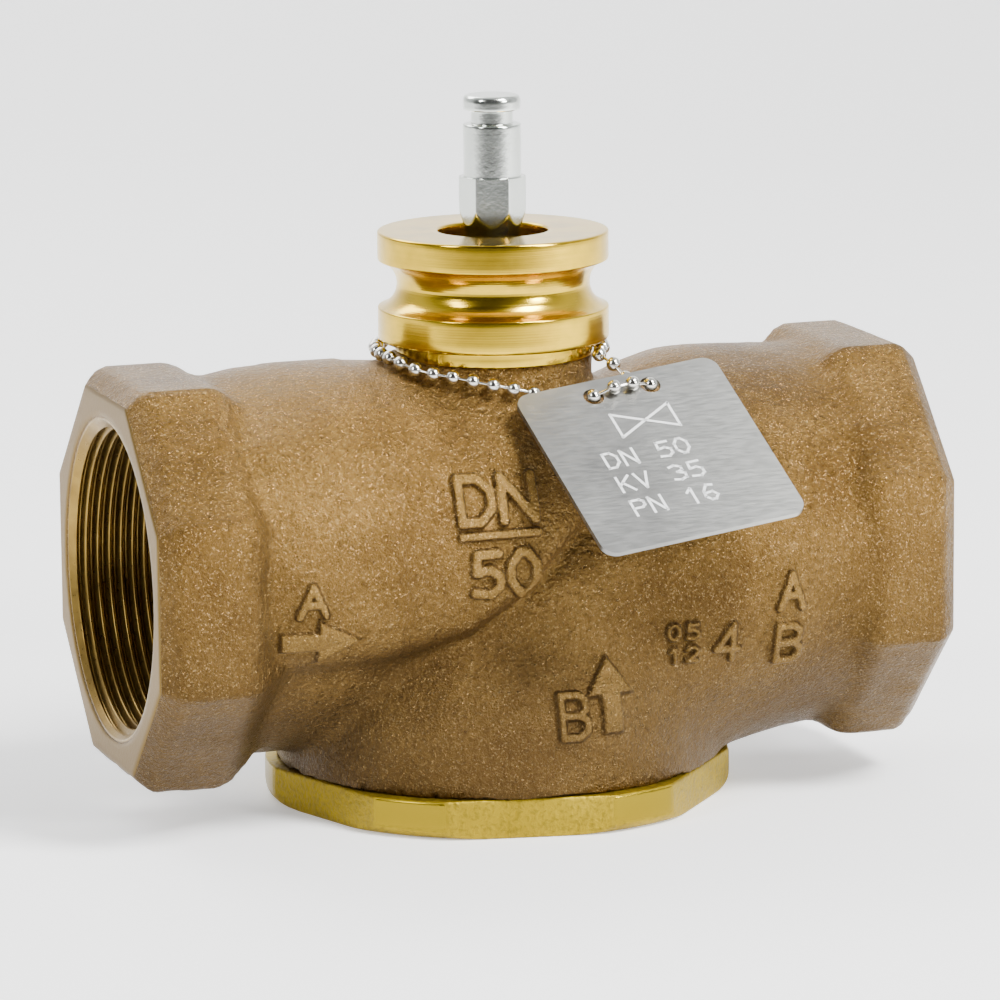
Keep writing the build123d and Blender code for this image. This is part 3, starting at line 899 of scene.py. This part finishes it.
def tag_marks():
    """Generic data on the tag: a two-way valve sign and lines for size, flow and pressure."""
    strokes = []

    def word(text, height_up):
        """Letters side by side along the tag, from its left margin."""
        for index, letter in enumerate(text):
            if letter != " ":
                left = TEXT_LEFT + index * (TEXT_WIDTH + TEXT_GAP)
                strokes.extend(glyph_strokes(letter, left, height_up, TEXT_WIDTH, TEXT_HEIGHT))

    word("DN 50", -18.0)
    word("KV 35", -24.2)
    word("PN 16", -30.4)
    left, right, low, high = -5.0, 7.0, -11.2, -5.2
    strokes.extend([((left, low), (left, high)), ((left, high), (right, low)),
                    ((right, low), (right, high)), ((right, high), (left, low))])
    points, faces = ribbon(strokes, 0.52, 0.46, 0.53)
    return add_piece("tag_marks", points, faces, TAG_WHITE, "tag", smooth=False)


# ---------------------------------------------------------------- build
build_casting()
port_thread("port_a_thread", FACE_A, 1)
port_thread("port_ab_thread", FACE_AB, -1)
build_bonnet()
build_cap()
build_coupling()
build_beads("chain_balls", "chain_beads", "housing")
build_beads("tag_chain_balls", "tag_chain_beads", "tag")
tag_marks()

CAD_FINISH = {
    "seat_ring": STEEL, "bottom_cap_gasket": FIBRE, "bonnet_o_ring": RUBBER,
    "guide_bush_lower": BONNET, "guide_bush_upper": BONNET, "packing_gland_nut": BONNET,
    "packing_washer_lower": STEEL, "packing_washer_upper": STEEL, "packing_spring": STEEL,
    "packing_v_rings": PTFE, "wiper_seal": RUBBER, "stem": STEEL, "valve_plug": BONNET,
    "plug_soft_seal": RUBBER, "plug_seal_retainer": STEEL, "plug_washer": STEEL,
    "plug_nut": STEEL, "stem_o_ring": RUBBER, "id_tag": TAG, "chain_links": NICKEL,
    "chain_connector": NICKEL, "tag_chain_links": NICKEL,
}
for node, material in CAD_FINISH.items():
    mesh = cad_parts[node].data
    mesh.materials.clear()
    mesh.materials.append(material)


# ---------------------------------------------------------------- floor, light, camera
def add_floor():
    """A pale floor with painted shade well in front and a painted glow, curving up to a back wall: a
    profile swept sideways.
    """
    bend = np.radians(np.linspace(0, 90, 16))
    curve = [(0.9 + 0.5 * np.sin(a), 0.5 - 0.5 * np.cos(a)) for a in bend]
    profile = [(-1.6, 0.0)] + curve + [(1.4, 2.6)]
    sides = np.linspace(-2.4, 2.4, 3)
    points = [(x, y, z) for y, z in profile for x in sides]
    mesh = bpy.data.meshes.new("floor")
    faces = grid_faces(len(profile), len(sides), wrap_columns=False)[:, ::-1]
    mesh.from_pydata(points, [], faces.tolist())
    mesh.shade_smooth()
    net = Net("floor_paper", (0.93, 0.93, 0.93), 0.0, 0.85)
    # painted shade: the floor turns dark well in front of the valve, a dark sheet for the unlit room
    # reflected in the metal
    pale = net.span(net.parts()[1], -0.70, -0.24)
    net.colour(net.blend(pale, (0.08, 0.08, 0.08), (0.93, 0.93, 0.93)))
    # painted light: the pale part of the floor glows with its own emission
    net.surface.inputs["Emission Color"].default_value = (1, 1, 1, 1)
    net.put(net.maths("MULTIPLY", pale, 0.46), net.surface.inputs["Emission Strength"])
    mesh.materials.append(net.material)
    floor = bpy.data.objects.new("floor", mesh)
    bpy.context.scene.collection.objects.link(floor)
    floor.rotation_euler = (0, 0, math.radians(-18.8))


def add_light(name, place, aim, size, power):
    """A soft rectangular light that faces a point."""
    data = bpy.data.lights.new(name, "AREA")
    data.shape = "RECTANGLE"
    data.size, data.size_y = size
    data.energy = power
    light = bpy.data.objects.new(name, data)
    bpy.context.scene.collection.objects.link(light)
    light.location = place
    way = Vector(aim) - Vector(place)
    light.rotation_euler = way.to_track_quat("-Z", "Y").to_euler()


add_floor()
add_light("key", (0.50, -0.70, 1.15), (0, 0, 0.05), (0.40, 0.40), 40)
add_light("low", (0.80, -1.15, 0.50), (0, 0, 0.05), (0.30, 0.30), 19)
add_light("left", (-1.25, -0.60, 0.85), (0, 0, 0.05), (0.30, 0.7), 13)
add_light("rim", (-0.3, 0.9, 0.9), (0, 0, 0.05), (1.0, 0.4), 12)

# the studio is dark on the viewer's side and bright behind
world = bpy.data.worlds.new("studio")
world.use_nodes = True
sky, joins = world.node_tree.nodes, world.node_tree.links
direction = sky.new("ShaderNodeTexCoord").outputs["Generated"]
towards = sky.new("ShaderNodeVectorMath")
towards.operation = "DOT_PRODUCT"
joins.new(direction, towards.inputs[0])
towards.inputs[1].default_value = (-0.32, -0.95, 0.0)
shade = sky.new("ShaderNodeMapRange")
shade.interpolation_type = "SMOOTHSTEP"
shade.inputs["From Min"].default_value = -0.25
shade.inputs["From Max"].default_value = 0.55
shade.inputs["To Min"].default_value = 0.95
shade.inputs["To Max"].default_value = 0.06
joins.new(towards.outputs["Value"], shade.inputs["Value"])
joins.new(shade.outputs["Result"], sky["Background"].inputs["Strength"])
sky["Background"].inputs["Color"].default_value = (0.96, 0.98, 1.0, 1)
bpy.context.scene.world = world

# view from the front left, a little above the pipe
AZIMUTH, ELEVATION, ROLL = math.radians(-18.77), math.radians(11.285), math.radians(-0.468)
back = Vector((math.sin(AZIMUTH) * math.cos(ELEVATION), -math.cos(AZIMUTH) * math.cos(ELEVATION),
                math.sin(ELEVATION)))
right = Vector((math.cos(AZIMUTH), math.sin(AZIMUTH), 0))
up = back.cross(right)
data = bpy.data.cameras.new("camera")
data.sensor_width = 36
data.lens = 220.1
data.shift_x = 0.00465
data.shift_y = 0.0510
camera = bpy.data.objects.new("camera", data)
bpy.context.scene.collection.objects.link(camera)
turned = Matrix((right, up, back)).transposed() @ Matrix.Rotation(ROLL, 3, "Z")
camera.matrix_world = Matrix.Translation(Vector((0, 0, PIPE_Z * MM)) + back * 1.1721) @ turned.to_4x4()
bpy.context.scene.camera = camera
